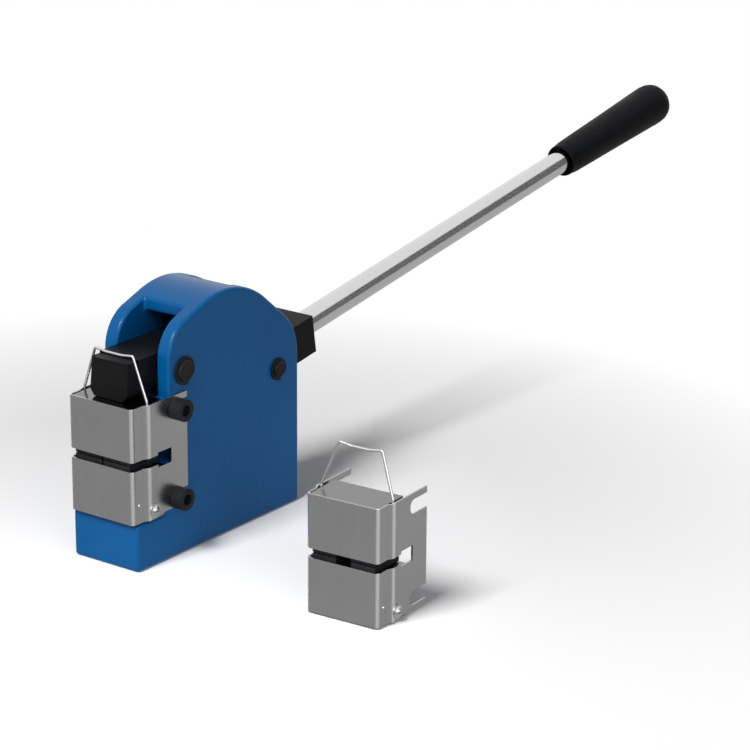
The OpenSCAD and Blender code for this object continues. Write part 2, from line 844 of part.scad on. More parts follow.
// Adds the mirror image of points that run from the front to the rear
function mirrored(points) =
    concat(points, [for (i = [len(points) - 1:-1:0]) [-points[i][0], points[i][1]]]);

module block_prism(bottom, top, sides) {
    front = [[block_half - block_chamfer, block_front], [block_half, block_front + block_chamfer]];
    translate([0, 0, bottom]) linear_extrude(top - bottom) polygon(mirrored(concat(front, sides)));
}

module lower_block(way) {
    difference() {
        block_prism(-block_proud, lower_face, [
            [block_half, jog_end + 2 * block_gap], [block_rear_half, jog_end + 2 * block_gap],
            [block_rear_half, block_rear + block_gap]
        ]);
        lower_pockets(way);
        both_sides() {
            translate([0, case_screw_back, case_screw_h])
                rod_x(flange_half + sheet_t + case_washer_t - case_screw_len - over,
                      case_screw_len + over, case_screw_r);
            translate([0, locator_back, locator_h])
                rod_x(half_w + locator_proud - locator_len, locator_len, locator_r);
        }
    }
}

module upper_block(way) {
    difference() {
        block_prism(2 * throat_mid - lower_face, block_top, [[block_half, block_rear]]);
        as_upper() lower_pockets(way);
        both_sides() translate([0, bail_back, bail_pivot_h])
            rod_x(bail_leg_x - bail_foot - over, body_w, wire_r + wire_clear);
    }
}

module lower_keeper_pins(way) {
    both_sides() translate([keeper_x(way), block_front + die_clear, keeper_h]) rotate([-90, 0, 0])
        cylinder(h = keeper_len - die_clear, r = keeper_r);
}

module lower_springs(way) {
    x0 = way == outward ? keel_inner(way) + keel_w : pocket_inner(way) + die_clear / 2;
    both_sides() translate([x0, keel_front + keel_d / 4, lower_face - keel_h / 3]) difference() {
        rod_x(die_clear / 2, spring_len, spring_r);
        rod_x(-over, spring_len + 3 * over, spring_r - spring_wall);
    }
}

// The serrated upper edge of a lower die, from its inner to its outer end
function serrations(x0, x1) =
    let (count = floor((x1 - x0) / tooth_pitch), step = (x1 - x0) / count)
    [for (i = [0:2 * count]) [x0 + i * step / 2, die_face - (i % 2) * tooth_depth]];

// The oblong hole that gives the die its travel on the keeper pin, drilled as a pair
module keeper_slot(way) {
    for (back = [0, die_travel])
        along_y(keel_front - over, keel_d + 2 * over)
            translate([keeper_x(way) - way * back * cos(wedge_slope),
                       keeper_h + back * sin(wedge_slope)])
                circle(r = keeper_r + die_clear);
}

module lower_die(way) {
    x0 = die_inner(way);
    x1 = die_outer;
    k0 = keel_inner(way);
    k1 = k0 + keel_w;
    difference() {
        union() {
            along_y(die_front, die_d)
                polygon(concat(serrations(x0, x1), [[x1, plate_under], [x0, plate_under]]));
            along_y(keel_front, keel_d) polygon([
                [k0, floor_at(way, k0)], [k1, floor_at(way, k1)],
                [k1, plate_under + tooth_depth], [k0, plate_under + tooth_depth]
            ]);
        }
        keeper_slot(way);
    }
}

// Wire bail

// Number of flats on the wire, whose straight lengths run past each other at the bends
wire_flats = 12;

// A wire along a flat path of width and height
module bent_wire(points) {
    last = len(points) - 2;
    for (i = [0:last]) {
        way = (points[i + 1] - points[i]) / norm(points[i + 1] - points[i]);
        before = i == 0 ? 0 : wire_r * bend_share;
        after = i == last ? 0 : wire_r * bend_share;
        start = points[i] - before * way;
        translate([start[0], 0, start[1]]) rotate([0, atan2(way[0], way[1]), 0])
            cylinder(h = norm(points[i + 1] - points[i]) + before + after, r = wire_r,
                     $fn = wire_flats);
    }
}

module bail(lean) {
    rise = bail_pivot_drop + block_drop + sheet_t;
    side = [
        [bail_leg_x - bail_foot, 0], [bail_leg_x, 0], [bail_leg_x, rise],
        [bail_top_w / 2, bail_rise]
    ];
    translate([0, bail_back, bail_pivot_h]) rotate([lean, 0, 0])
        bent_wire(mirrored(side));
}

// Clamp screws

module clamp_screws() {
    seat = body_w / 2 + sheet_t;
    color([0.08, 0.08, 0.09]) on_machine() both_sides()
        for (h = [upper_slot_h, lower_slot_h])
            translate([0, clamp_back, h]) difference() {
                union() {
                    rod_x(seat - clamp_len, clamp_len, clamp_r);
                    rod_x(seat, clamp_head_h, clamp_head_r);
                }
                rod_hex(seat + clamp_head_h - clamp_hex_depth, clamp_hex_depth + over);
            }
}

module rod_hex(x0, len) {
    translate([x0, 0, 0]) rotate([0, 90, 0])
        cylinder(h = len, r = clamp_hex / sqrt(3), $fn = 6);
}

// The stretcher set, mounted

module stretcher_housing() {
    color("silver") on_machine() housing();
}

module stretcher_housing_screws() {
    color("gainsboro") on_machine() housing_screws();
}

module stretcher_housing_washers() {
    color("gainsboro") on_machine() housing_washers();
}

module stretcher_locating_pins() {
    color("gainsboro") on_machine() locating_pins();
}

module stretcher_lower_block() {
    color("darkgray") on_machine() lower_block(outward);
}

module stretcher_upper_block() {
    color("darkgray") on_machine() upper_block(outward);
}

module stretcher_lower_keeper_pins() {
    color("gray") on_machine() lower_keeper_pins(outward);
}

module stretcher_upper_keeper_pins() {
    color("gray") on_machine() as_upper() lower_keeper_pins(outward);
}

module stretcher_lower_springs() {
    color("gray") on_machine() lower_springs(outward);
}

module stretcher_upper_springs() {
    color("gray") on_machine() as_upper() lower_springs(outward);
}

module stretcher_lower_right_die() {
    color([0.16, 0.16, 0.17]) on_machine() lower_die(outward);
}

module stretcher_lower_left_die() {
    color([0.16, 0.16, 0.17]) on_machine() mirror([1, 0, 0]) lower_die(outward);
}

module stretcher_upper_right_die() {
    color([0.16, 0.16, 0.17]) on_machine() as_upper() lower_die(outward);
}

module stretcher_upper_left_die() {
    color([0.16, 0.16, 0.17]) on_machine() mirror([1, 0, 0]) as_upper() lower_die(outward);
}

module stretcher_bail() {
    color("gainsboro") on_machine() bail(bail_lean);
}

// The shrinker set, standing on the bench

module shrinker_housing() {
    color("silver") on_bench() housing();
}

module shrinker_housing_screws() {
    color("gainsboro") on_bench() housing_screws();
}

module shrinker_housing_washers() {
    color("gainsboro") on_bench() housing_washers();
}

module shrinker_locating_pins() {
    color("gainsboro") on_bench() locating_pins();
}

module shrinker_lower_block() {
    color("darkgray") on_bench() lower_block(inward);
}

module shrinker_upper_block() {
    color("darkgray") on_bench() upper_block(inward);
}

module shrinker_lower_keeper_pins() {
    color("gray") on_bench() lower_keeper_pins(inward);
}

module shrinker_upper_keeper_pins() {
    color("gray") on_bench() as_upper() lower_keeper_pins(inward);
}

module shrinker_lower_springs() {
    color("gray") on_bench() lower_springs(inward);
}

module shrinker_upper_springs() {
    color("gray") on_bench() as_upper() lower_springs(inward);
}

module shrinker_lower_right_die() {
    color([0.16, 0.16, 0.17]) on_bench() lower_die(inward);
}

module shrinker_lower_left_die() {
    color([0.16, 0.16, 0.17]) on_bench() mirror([1, 0, 0]) lower_die(inward);
}

module shrinker_upper_right_die() {
    color([0.16, 0.16, 0.17]) on_bench() as_upper() lower_die(inward);
}

module shrinker_upper_left_die() {
    color([0.16, 0.16, 0.17]) on_bench() mirror([1, 0, 0]) as_upper() lower_die(inward);
}

module shrinker_bail() {
    color("gainsboro") on_bench() bail(-spare_bail_lean);
}

body_casting();
front_pivot_pin();
rear_pivot_pin();
front_pin_rings();
rear_pin_rings();
clamp_screws();
rocker_arm();
rocker_bush();
lever_head();
lever_bush();
lever_set_screw();
lever_bar();
lever_grip();
stretcher_housing();
stretcher_housing_screws();
stretcher_housing_washers();
stretcher_locating_pins();
stretcher_lower_block();
stretcher_upper_block();
stretcher_lower_keeper_pins();
stretcher_upper_keeper_pins();
stretcher_lower_springs();
stretcher_upper_springs();
stretcher_lower_left_die();
stretcher_lower_right_die();
stretcher_upper_left_die();
stretcher_upper_right_die();
stretcher_bail();
shrinker_housing();
shrinker_housing_screws();
shrinker_housing_washers();
shrinker_locating_pins();
shrinker_lower_block();
shrinker_upper_block();
shrinker_lower_keeper_pins();
shrinker_upper_keeper_pins();
shrinker_lower_springs();
shrinker_upper_springs();
shrinker_lower_left_die();
shrinker_lower_right_die();
shrinker_upper_left_die();
shrinker_upper_right_die();
shrinker_bail();
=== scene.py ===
"""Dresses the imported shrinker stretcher: cast body, rocker, hand lever and two boxed jaw sets."""

import json
import math

import bmesh
import bpy
from bpy.props import FloatProperty, FloatVectorProperty, PointerProperty
from mathutils import Matrix, Vector


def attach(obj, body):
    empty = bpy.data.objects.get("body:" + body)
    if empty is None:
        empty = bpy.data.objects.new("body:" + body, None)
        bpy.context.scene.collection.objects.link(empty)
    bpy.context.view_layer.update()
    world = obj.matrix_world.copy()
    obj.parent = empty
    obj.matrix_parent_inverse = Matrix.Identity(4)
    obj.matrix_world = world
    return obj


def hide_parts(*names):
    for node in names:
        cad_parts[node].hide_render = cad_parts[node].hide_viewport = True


bl_info = {
    "name": "Shrinker stretcher",
    "version": (1, 0, 0),
    "blender": (4, 5, 0),
    "location": "View3D > Sidebar > Shrinker stretcher",
    "description": "Builds the visible pieces and finishes of a bench shrinker stretcher",
    "category": "Object",
}

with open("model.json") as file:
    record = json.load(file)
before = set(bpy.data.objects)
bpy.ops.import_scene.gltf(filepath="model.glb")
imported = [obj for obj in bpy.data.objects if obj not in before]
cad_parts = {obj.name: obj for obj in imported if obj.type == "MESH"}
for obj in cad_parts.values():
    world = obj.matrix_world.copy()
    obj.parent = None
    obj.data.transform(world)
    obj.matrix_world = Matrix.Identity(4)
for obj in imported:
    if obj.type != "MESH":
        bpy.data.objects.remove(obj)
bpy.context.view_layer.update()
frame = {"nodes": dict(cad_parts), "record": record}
NODES = frame["nodes"]
MM = 0.001

# The lever's pin, and its rise and its reach to the grip's end as it stands
REAR_PIN = Vector((0.0, 66.7, 109.817)) * MM
LEVER_PITCH = math.radians(9)
LEVER_REACH = 585 * MM

# Where the two jaw sets stand, the spare one turned a little on the bench
JAW_SETS = ("stretcher", "shrinker")
SPARE_TURN = Matrix.Rotation(math.radians(3.5), 4, "Z")
SET_PLACE = {
    "stretcher": Matrix.Translation(Vector((0.0, -95.0, 36.0)) * MM),
    "shrinker": Matrix.Translation(Vector((194.5, -72.5, 1.0)) * MM) @ SPARE_TURN,
}

# Place of a bail's pivot line in its own set, and each bail's lean as it stands
BAIL_PIVOT = Vector((0.0, 17.3, 80.3)) * MM
BAIL_LEAN = {"stretcher": math.radians(1.2), "shrinker": math.radians(-8)}
WIRE_RADIUS = 0.99 * MM


# Sizes and colours that a user would change

class EdgeSizes(bpy.types.PropertyGroup):
    cast_edge: FloatProperty(
        name="Cast edges", description="Rounding of the body casting's edges",
        default=2.4 * MM, min=0.5 * MM, max=3 * MM, subtype="DISTANCE", unit="LENGTH")
    lever_edge: FloatProperty(
        name="Lever edges", description="Rounding of the rocker's and the lever head's edges",
        default=1.2 * MM, min=0.2 * MM, max=2 * MM, subtype="DISTANCE", unit="LENGTH")
    sheet_edge: FloatProperty(
        name="Sheet edges", description="Rounding of the housings' sheet edges",
        default=0.25 * MM, min=0.05 * MM, max=0.5 * MM, subtype="DISTANCE", unit="LENGTH")
    block_edge: FloatProperty(
        name="Block edges", description="Rounding of the jaw blocks' edges",
        default=0.6 * MM, min=0.1 * MM, max=1 * MM, subtype="DISTANCE", unit="LENGTH")
    wire_bend: FloatProperty(
        name="Wire bends", description="Centre-line radius of the bends in the wire bails",
        default=1.4 * MM, min=1.2 * MM, max=2.2 * MM, subtype="DISTANCE", unit="LENGTH")
    wire_dip: FloatProperty(
        name="Wire dip", description="Dip in the middle of each bail's top bar",
        default=1.3 * MM, min=0.0, max=2 * MM, subtype="DISTANCE", unit="LENGTH")


class FinishColours(bpy.types.PropertyGroup):
    body_blue: FloatVectorProperty(
        name="Body paint", description="Blue of the body's enamel",
        default=(0.0003, 0.078, 0.235), size=3, min=0, max=1, subtype="COLOR")
    lever_black: FloatVectorProperty(
        name="Lever black", description="Black of the rocker and the lever head",
        default=(0.0035, 0.0035, 0.004), size=3, min=0, max=1, subtype="COLOR")
    grip_black: FloatVectorProperty(
        name="Grip black", description="Black of the lever's grip",
        default=(0.0018, 0.0022, 0.003), size=3, min=0, max=1, subtype="COLOR")
    sheet_grey: FloatVectorProperty(
        name="Sheet steel", description="Grey of the brushed housings",
        default=(0.45, 0.45, 0.45), size=3, min=0, max=1, subtype="COLOR")
    floor_white: FloatVectorProperty(
        name="Floor", description="Colour of the floor",
        default=(0.93, 0.93, 0.93), size=3, min=0, max=1, subtype="COLOR")


# Shader building

class Value:
    """A socket whose arithmetic adds Math nodes."""

    def __init__(self, finish, socket):
        self.finish = finish
        self.socket = socket

    def _math(self, operation, first, second):
        return self.finish.add("ShaderNodeMath", {"operation": operation}, {0: first, 1: second})

    def __add__(self, other):
        return self._math("ADD", self, other)

    def __sub__(self, other):
        return self._math("SUBTRACT", self, other)

    def __mul__(self, other):
        return self._math("MULTIPLY", self, other)

    __radd__ = __add__


class Finish:
    """One material, built from named nodes around a Principled shader."""

    def __init__(self, name):
        self.material = bpy.data.materials.new(name)
        self.material.use_nodes = True
        self.tree = self.material.node_tree
        self.tree.nodes.clear()
        self.place = self.add("ShaderNodeTexCoord", out="Object")

    def add(self, kind, settings=(), inputs=(), out=0):
        """Adds a node and gives one of its outputs."""
        node = self.tree.nodes.new(kind)
        for key, value in dict(settings).items():
            if key == "stops":
                ramp = node.color_ramp
                while len(ramp.elements) < len(value):
                    ramp.elements.new(0.5)
                for element, (position, shade) in zip(ramp.elements, value):
                    element.position = position
                    element.color = (shade, shade, shade, 1)
            else:
                setattr(node, key, value)
        for key, value in dict(inputs).items():
            if isinstance(value, Value):
                self.tree.links.new(value.socket, node.inputs[key])
            else:
                node.inputs[key].default_value = value
        return Value(self, node.outputs[out])

    def stretched(self, scale):
        return self.add("ShaderNodeMapping", {}, {"Vector": self.place, "Scale": scale})

    def noise(self, scale, detail=3.0, rough=0.5, at=None, warp=0.0):
        return self.add("ShaderNodeTexNoise", {},
                        {"Vector": at or self.place, "Scale": scale, "Detail": detail,
                         "Roughness": rough, "Distortion": warp})

    def split(self, vector):
        """The X and Y of a vector."""
        parts = self.add("ShaderNodeSeparateXYZ", {}, {"Vector": vector}).socket.node
        return [Value(self, parts.outputs[axis]) for axis in "XY"]

    def ramp(self, value, *stops):
        return self.add("ShaderNodeValToRGB", {"stops": stops}, {"Fac": value})

    def mixed(self, factor, first, second):
        return self.add("ShaderNodeMix", {"data_type": "RGBA"},
                        {0: factor, 6: first, 7: second}, out=2)

    def bump(self, height, strength, distance):
        return self.add("ShaderNodeBump", {},
                        {"Height": height, "Strength": strength, "Distance": distance})

    def finish(self, **inputs):
        """Ends the material with a Principled shader that takes these inputs."""
        renamed = {key.replace("_", " "): value for key, value in inputs.items()}
        surface = self.add("ShaderNodeBsdfPrincipled", {}, renamed)
        self.add_output(surface)
        return self.material

    def add_output(self, surface):
        output = self.tree.nodes.new("ShaderNodeOutputMaterial")
        self.tree.links.new(surface.socket, output.inputs["Surface"])


def colour(shade):
    return (*shade, 1.0)


def lighter(shade, factor):
    """The shade made lighter or darker by a factor, as a socket's colour."""
    return colour(min(1.0, part * factor) for part in shade)


def enamel(shade):
    """Gloss enamel over a sand cast skin, a little duller and dustier in patches."""
    f = Finish("blue_enamel")
    broad = f.ramp(f.noise(9, 4), (0.35, 0.0), (0.7, 1.0))
    skin = f.noise(260, 2)
    peel = f.noise(1150, 2)
    specks = f.ramp(f.noise(1900, 1), (0.7, 0.0), (0.76, 1.0))
    base = f.mixed(broad, colour(shade), lighter(shade, 1.16))
    base = f.mixed(specks * 0.16, base, lighter(shade, 1.8))
    rough = 0.24 + broad * 0.07 + specks * 0.1
    height = skin * 0.8 + peel * 0.2
    return f.finish(
        Base_Color=base, Roughness=rough, Metallic=0.0, Specular_IOR_Level=0.16,
        Normal=f.bump(height, 0.22, 0.25 * MM))


def satin_black(name, shade, grain=420, dull=0.36):
    """Black oxide or paint on machined and cast steel, rubbed a little bare in specks."""
    f = Finish(name)
    patches = f.ramp(f.noise(30, 4), (0.35, 0.0), (0.72, 1.0))
    fine = f.noise(grain, 3)
    rubbed = f.ramp(f.noise(620, 3, 0.6), (0.66, 0.0), (0.75, 1.0))
    base = f.mixed(patches, colour(shade), lighter(shade, 1.7))
    base = f.mixed(rubbed * 0.1, base, (0.08, 0.08, 0.085, 1))
    rough = dull + patches * 0.1 - rubbed * 0.06
    return f.finish(
        Base_Color=base, Roughness=rough, Metallic=0.0, Specular_IOR_Level=0.09,
        Normal=f.bump(fine, 0.16, 0.12 * MM))


def brushed(name, shade, lines, dull, depth, bright=None):
    """Brushed or ground steel: fine lines, a slow change in tone and a few faint marks.

    bright is an optional mask of places painted lighter, a painted highlight along the sheet's
    folds."""
    f = bright.finish if bright else Finish(name)
    streaks = f.noise(1.0, 3, 0.6, at=f.stretched(lines))
    coarse = f.noise(0.35, 2, 0.5, at=f.stretched(lines))
    cloud = f.noise(22, 3)
    marks = f.ramp(f.noise(75, 3, 0.6, warp=1.5), (0.64, 0.0), (0.7, 1.0))
    tone = streaks * 0.3 + coarse * 0.15 + cloud * 0.55
    base = f.mixed(tone, lighter(shade, 0.88), lighter(shade, 1.12))
    base = f.mixed(marks * 0.16, base, lighter(shade, 0.75))
    rough = dull + streaks * 0.1 + marks * 0.05 - 0.05
    # Painted highlight: the masked places are painted much lighter, standing in for the light the
    # folds catch
    if bright:
        base = f.mixed(bright * 0.85, base, lighter(shade, 2.1))
    return f.finish(
        Base_Color=base, Roughness=rough, Metallic=1.0,
        Normal=f.bump(streaks, depth, 0.03 * MM))


# Upright lines along which a housing's sheet is folded: half width and depth in its own set,
# and reach of the painted highlight to either side, in millimetres
FOLD_LINES = ((28.0, 1.2, 1.5), (31.4, 15.9, 1.7))


def folded_sheet(name, shade, place):
    """Brushed sheet with a painted highlight along its folds, for the jaw set that stands at place.
    """
    f = Finish(f"{name}_sheet")
    own = f.add("ShaderNodeMapping", {"vector_type": "TEXTURE"}, {
        "Vector": f.place, "Location": place.to_translation(), "Rotation": place.to_euler()})
    width, depth = f.split(own)
    width = f.add("ShaderNodeMath", {"operation": "ABSOLUTE"}, {0: width})
    # Painted highlight: a bright strip is painted along each fold line
    bright = 0.0
    for across, back, reach in FOLD_LINES:
        flat = f.add("ShaderNodeCombineXYZ", {}, {"X": width - across * MM, "Y": depth - back * MM})
        off = f.add("ShaderNodeVectorMath", {"operation": "LENGTH"}, {0: flat}, out="Value")
        bright = f.ramp(off * (0.5 / (reach * MM)), (0.2, 1.0), (0.6, 0.0)) + bright
    return brushed(name, shade, (900, 900, 45), dull=0.27, depth=0.06, bright=bright)


def polished(name, shade, dull, lines=(120, 120, 120)):
    """Polished or plated steel with faint turning marks and a few dull spots."""
    f = Finish(name)
    streaks = f.noise(1.0, 2, 0.5, at=f.stretched(lines))
    spots = f.ramp(f.noise(160, 3, 0.6), (0.66, 0.0), (0.76, 1.0))
    base = f.mixed(spots * 0.35, colour(shade), lighter(shade, 0.8))
    rough = dull + streaks * 0.05 + spots * 0.12
    return f.finish(
        Base_Color=base, Roughness=rough, Metallic=1.0,
        Normal=f.bump(streaks, 0.05, 0.02 * MM))


def soft_rubber(shade):
    """Moulded black rubber, matt, with a fine grain and a little dust."""
    f = Finish("grip_rubber")
    grain = f.noise(900, 2)
    broad = f.ramp(f.noise(28, 4), (0.38, 0.0), (0.7, 1.0))
    dust = f.ramp(f.noise(1400, 2), (0.7, 0.0), (0.78, 1.0))
    base = f.mixed(broad, colour(shade), lighter(shade, 1.5))
    base = f.mixed(dust * 0.06, base, (0.12, 0.12, 0.12, 1))
    return f.finish(
        Base_Color=base, Roughness=0.46 + broad * 0.1 + dust * 0.1, Metallic=0.0,
        Specular_IOR_Level=0.08, Normal=f.bump(grain, 0.12, 0.06 * MM))


def make_finishes(colours):
    """Makes every finish of the part, with lines stretched upright or along a piece."""
    upright = (60, 60, 1400)
    along = (1400, 1400, 90)
    return {
        "enamel": enamel(colours.body_blue),
        "lever_black": satin_black("lever_black", colours.lever_black),
        "screw_black": satin_black("screw_black", (0.012, 0.013, 0.015), grain=700, dull=0.3),
        "pin_black": satin_black("pin_black", (0.01, 0.01, 0.011), grain=900, dull=0.26),
        "die_black": satin_black("die_black", (0.012, 0.012, 0.014), grain=900, dull=0.34),
        "grip": soft_rubber(colours.grip_black),
        **{f"{name}_sheet": folded_sheet(name, colours.sheet_grey, place)
           for name, place in SET_PLACE.items()},
        "block": brushed("ground_block", (0.2, 0.2, 0.203), upright, dull=0.17, depth=0.06),
        "bar": polished("polished_bar", (0.68, 0.68, 0.685), dull=0.12, lines=along),
        "bright": polished("bright_steel", (0.6, 0.6, 0.61), dull=0.16),
        "wire": polished("bright_wire", (0.62, 0.61, 0.6), dull=0.22),
        "bronze": brushed("sintered_bronze", (0.55, 0.33, 0.13), upright, dull=0.4, depth=0.1),
    }


FINISHES = {}


def finish_of(part):
    """The finish of a part's surface. All of them are made when the first is asked for."""
    if not FINISHES:
        FINISHES.update(make_finishes(bpy.context.scene.stretcher_colours))
    return FINISHES[part]


# Shaping

# Angles between faces: up to flat they are one face, over rounded their edge is rounded off,
# and over sharp it is shaded as a corner
FLAT, ROUNDED, SHARP = (math.radians(angle) for angle in (0.4, 28, 32))

# Distances under which points of a node become one, on fine pieces and on large cast ones
FINE_WELD = 2e-6
CAST_WELD = 6e-5


def shade_corners(bm):
    for face in bm.faces:
        face.smooth = True
    for edge in bm.edges:
        edge.smooth = edge.calc_face_angle(math.pi) < SHARP


def put_in_scene(bm, name, material, body, replaced):
    """Turns a finished bmesh into a piece that rides on a body of the frame."""
    shade_corners(bm)
    mesh = bpy.data.meshes.new(name)
    bm.to_mesh(mesh)
    bm.free()
    if not mesh.polygons:
        raise RuntimeError(f"{name} has no faces")
    mesh.materials.append(material)
    piece = bpy.data.objects.new(name, mesh)
    bpy.context.scene.collection.objects.link(piece)
    even = piece.modifiers.new("even_shading", "WEIGHTED_NORMAL")
    even.keep_sharp = True
    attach(piece, body)
    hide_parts(*replaced)


def body_of_node(node):
    for name, nodes in frame["record"]["behaviour"]["bodies"].items():
        if node in nodes:
            return name
    raise RuntimeError(f"{node} is on no body")


def node_shape(node, weld):
    """A copy of a node's mesh, with its triangles joined into whole flat faces."""
    bm = bmesh.new()
    bm.from_mesh(NODES[node].data)
    bmesh.ops.remove_doubles(bm, verts=bm.verts, dist=weld)
    bmesh.ops.dissolve_degenerate(bm, edges=bm.edges, dist=weld / 4)
    bmesh.ops.dissolve_limit(
        bm, angle_limit=FLAT, use_dissolve_boundaries=False, verts=bm.verts, edges=bm.edges)
    return bm


def round_edges(bm, width, segments, wanted=lambda edge: True, clamp=True):
    edges = [e for e in bm.edges if len(e.link_faces) == 2
             and e.calc_face_angle(0) > ROUNDED and wanted(e)]
    bmesh.ops.bevel(
        bm, geom=edges, offset=width, offset_type="OFFSET", segments=segments, profile=0.5,
        affect="EDGES", clamp_overlap=clamp, material=-1)


def soften(node, name, material, width, segments, weld=FINE_WELD):
    """Copies a node of the frame, rounds its edges and puts it in the node's place."""
    bm = node_shape(node, weld)
    round_edges(bm, width, segments)
    put_in_scene(bm, name, material, body_of_node(node), (node,))


def dress(node, material):
    """Gives a node of the frame its finish and leaves its shape alone."""
    mesh = NODES[node].data
    mesh.materials.clear()
    mesh.materials.append(material)
    for polygon in mesh.polygons:
        polygon.material_index = 0


# Pieces

# The bores' rims have shorter edges than this, and all of them lie under the crest
SHORTEST_EDGE = 1.7 * MM
CREST_HEIGHT = 145 * MM


def on_body_outline(edge):
    """The long edges of the casting and its outline, but not the rims of its bores."""
    return edge.calc_length() > SHORTEST_EDGE or min(v.co.z for v in edge.verts) > CREST_HEIGHT


def refill_flank(bm, x):
    """Fills one flat flank of the casting afresh between its outline and the rims of its bores."""
    flank = [f for f in bm.faces if all(abs(v.co.x - x) < FINE_WELD / 2 for v in f.verts)]
    rims = {e for f in flank for e in f.edges if any(other not in flank for other in e.link_faces)}
    bmesh.ops.delete(bm, geom=flank, context="FACES_KEEP_BOUNDARY")
    bmesh.ops.triangle_fill(
        bm, edges=list(rims), normal=(math.copysign(1, x), 0, 0), use_beauty=True)


class OBJECT_OT_stretcher_body(bpy.types.Operator):
    """Builds the enamelled body casting with its soft cast edges"""
    bl_idname = "object.stretcher_body"
    bl_label = "Body casting"

    def execute(self, context):
        sizes = context.scene.stretcher_edges
        bm = node_shape("body_casting", CAST_WELD)
        half_width = max(v.co.x for v in bm.verts)
        round_edges(bm, sizes.cast_edge, segments=4, wanted=on_body_outline, clamp=False)
        for x in (half_width, -half_width):
            refill_flank(bm, x)
        bmesh.ops.recalc_face_normals(bm, faces=bm.faces)
        put_in_scene(bm, "cast_body", finish_of("enamel"), "frame", ("body_casting",))
        return {"FINISHED"}


class OBJECT_OT_stretcher_pins(bpy.types.Operator):
    """Dresses the pivot pins, their rings and the bushes"""
    bl_idname = "object.stretcher_pins"
    bl_label = "Pivot pins"

    def execute(self, context):
        for node in ("front_pivot_pin", "rear_pivot_pin", "front_pin_rings", "rear_pin_rings"):
            dress(node, finish_of("pin_black"))
        for node in ("rocker_bush", "lever_bush"):
            dress(node, finish_of("bronze"))
        return {"FINISHED"}


class OBJECT_OT_stretcher_rocker(bpy.types.Operator):
    """Builds the black rocker with its rounded nose"""
    bl_idname = "object.stretcher_rocker"
    bl_label = "Rocker"

    def execute(self, context):
        sizes = context.scene.stretcher_edges
        soften("rocker_arm", "black_rocker", finish_of("lever_black"),
               sizes.lever_edge, segments=3, weld=CAST_WELD)
        return {"FINISHED"}


class OBJECT_OT_stretcher_lever(bpy.types.Operator):
    """Builds the lever head and dresses its bar and set screw"""
    bl_idname = "object.stretcher_lever"
    bl_label = "Hand lever"

    def execute(self, context):
        sizes = context.scene.stretcher_edges
        soften("lever_head", "black_lever_head", finish_of("lever_black"),
               sizes.lever_edge, segments=3, weld=CAST_WELD)
        dress("lever_bar", finish_of("bar"))
        dress("lever_set_screw", finish_of("screw_black"))
        return {"FINISHED"}


# Places along the grip from its mouth, with the radius there, in millimetres
GRIP_OUTLINE = (
    (4.0, 9.62), (4.0, 11.8), (0.4, 11.8), (0.0, 12.1), (0.0, 12.8), (0.4, 13.2), (1.4, 13.45),
    (5.0, 13.6), (7.0, 13.7), (9.0, 14.05), (12.0, 14.3), (26.0, 14.7), (50.0, 15.25),
    (80.0, 15.95), (108.0, 16.75), (128.0, 17.3), (137.0, 17.6), (142.0, 17.6), (146.5, 17.2),
    (150.0, 16.2), (153.0, 14.2), (155.2, 11.3), (156.7, 7.4), (157.6, 3.5), (158.0, 0.0),
)
GRIP_LENGTH = GRIP_OUTLINE[-1][0] * MM
GRIP_SIDES = 72

# Depth to which the scene shows the bore that holds the bar
GRIP_BORE_DEPTH = 20 * MM


class OBJECT_OT_stretcher_grip(bpy.types.Operator):
    """Builds the slipped-on rubber grip with its rolled lip and domed end"""
    bl_idname = "object.stretcher_grip"
    bl_label = "Grip"

    def execute(self, context):
        bm = bmesh.new()
        points = [bm.verts.new((radius * MM, along * MM, 0)) for along, radius in GRIP_OUTLINE]
        bore_end = bm.verts.new((GRIP_OUTLINE[0][1] * MM, GRIP_BORE_DEPTH, 0))
        chain = [bore_end] + points
        edges = [bm.edges.new(pair) for pair in zip(chain, chain[1:])]
        bmesh.ops.spin(
            bm, geom=chain + edges, cent=(0, 0, 0), axis=(0, 1, 0), dvec=(0, 0, 0),
            angle=math.tau, steps=GRIP_SIDES, use_merge=True, use_duplicate=False)
        bmesh.ops.remove_doubles(bm, verts=bm.verts, dist=FINE_WELD / 20)
        bmesh.ops.recalc_face_normals(bm, faces=bm.faces)
        start = Matrix.Translation((0, LEVER_REACH - GRIP_LENGTH, 0))
        place = Matrix.Translation(REAR_PIN) @ Matrix.Rotation(LEVER_PITCH, 4, "X") @ start
        bmesh.ops.transform(bm, matrix=place, verts=bm.verts)
        put_in_scene(bm, "rubber_grip", finish_of("grip"), "hand_lever", ("lever_grip",))
        return {"FINISHED"}


# Rounding of the screw heads' edges and of the dies' teeth
SCREW_EDGE = 0.7 * MM
TOOTH_EDGE = 0.12 * MM


class OBJECT_OT_stretcher_clamp_screws(bpy.types.Operator):
    """Builds the four socket head clamp screws with their rounded heads"""
    bl_idname = "object.stretcher_clamp_screws"
    bl_label = "Clamp screws"

    def execute(self, context):
        soften("clamp_screws", "socket_screws", finish_of("screw_black"), SCREW_EDGE, segments=3)
        return {"FINISHED"}


class OBJECT_OT_stretcher_housings(bpy.types.Operator):
    """Builds the folded sheet housings with eased edges"""
    bl_idname = "object.stretcher_housings"
    bl_label = "Jaw set housings"

    def execute(self, context):
        sizes = context.scene.stretcher_edges
        for name in JAW_SETS:
            soften(f"{name}_housing", f"{name}_sheet_housing", finish_of(f"{name}_sheet"),
                   sizes.sheet_edge, segments=2)
            for node in (f"{name}_housing_screws", f"{name}_housing_washers",
                         f"{name}_locating_pins"):
                dress(node, finish_of("bright"))
        return {"FINISHED"}


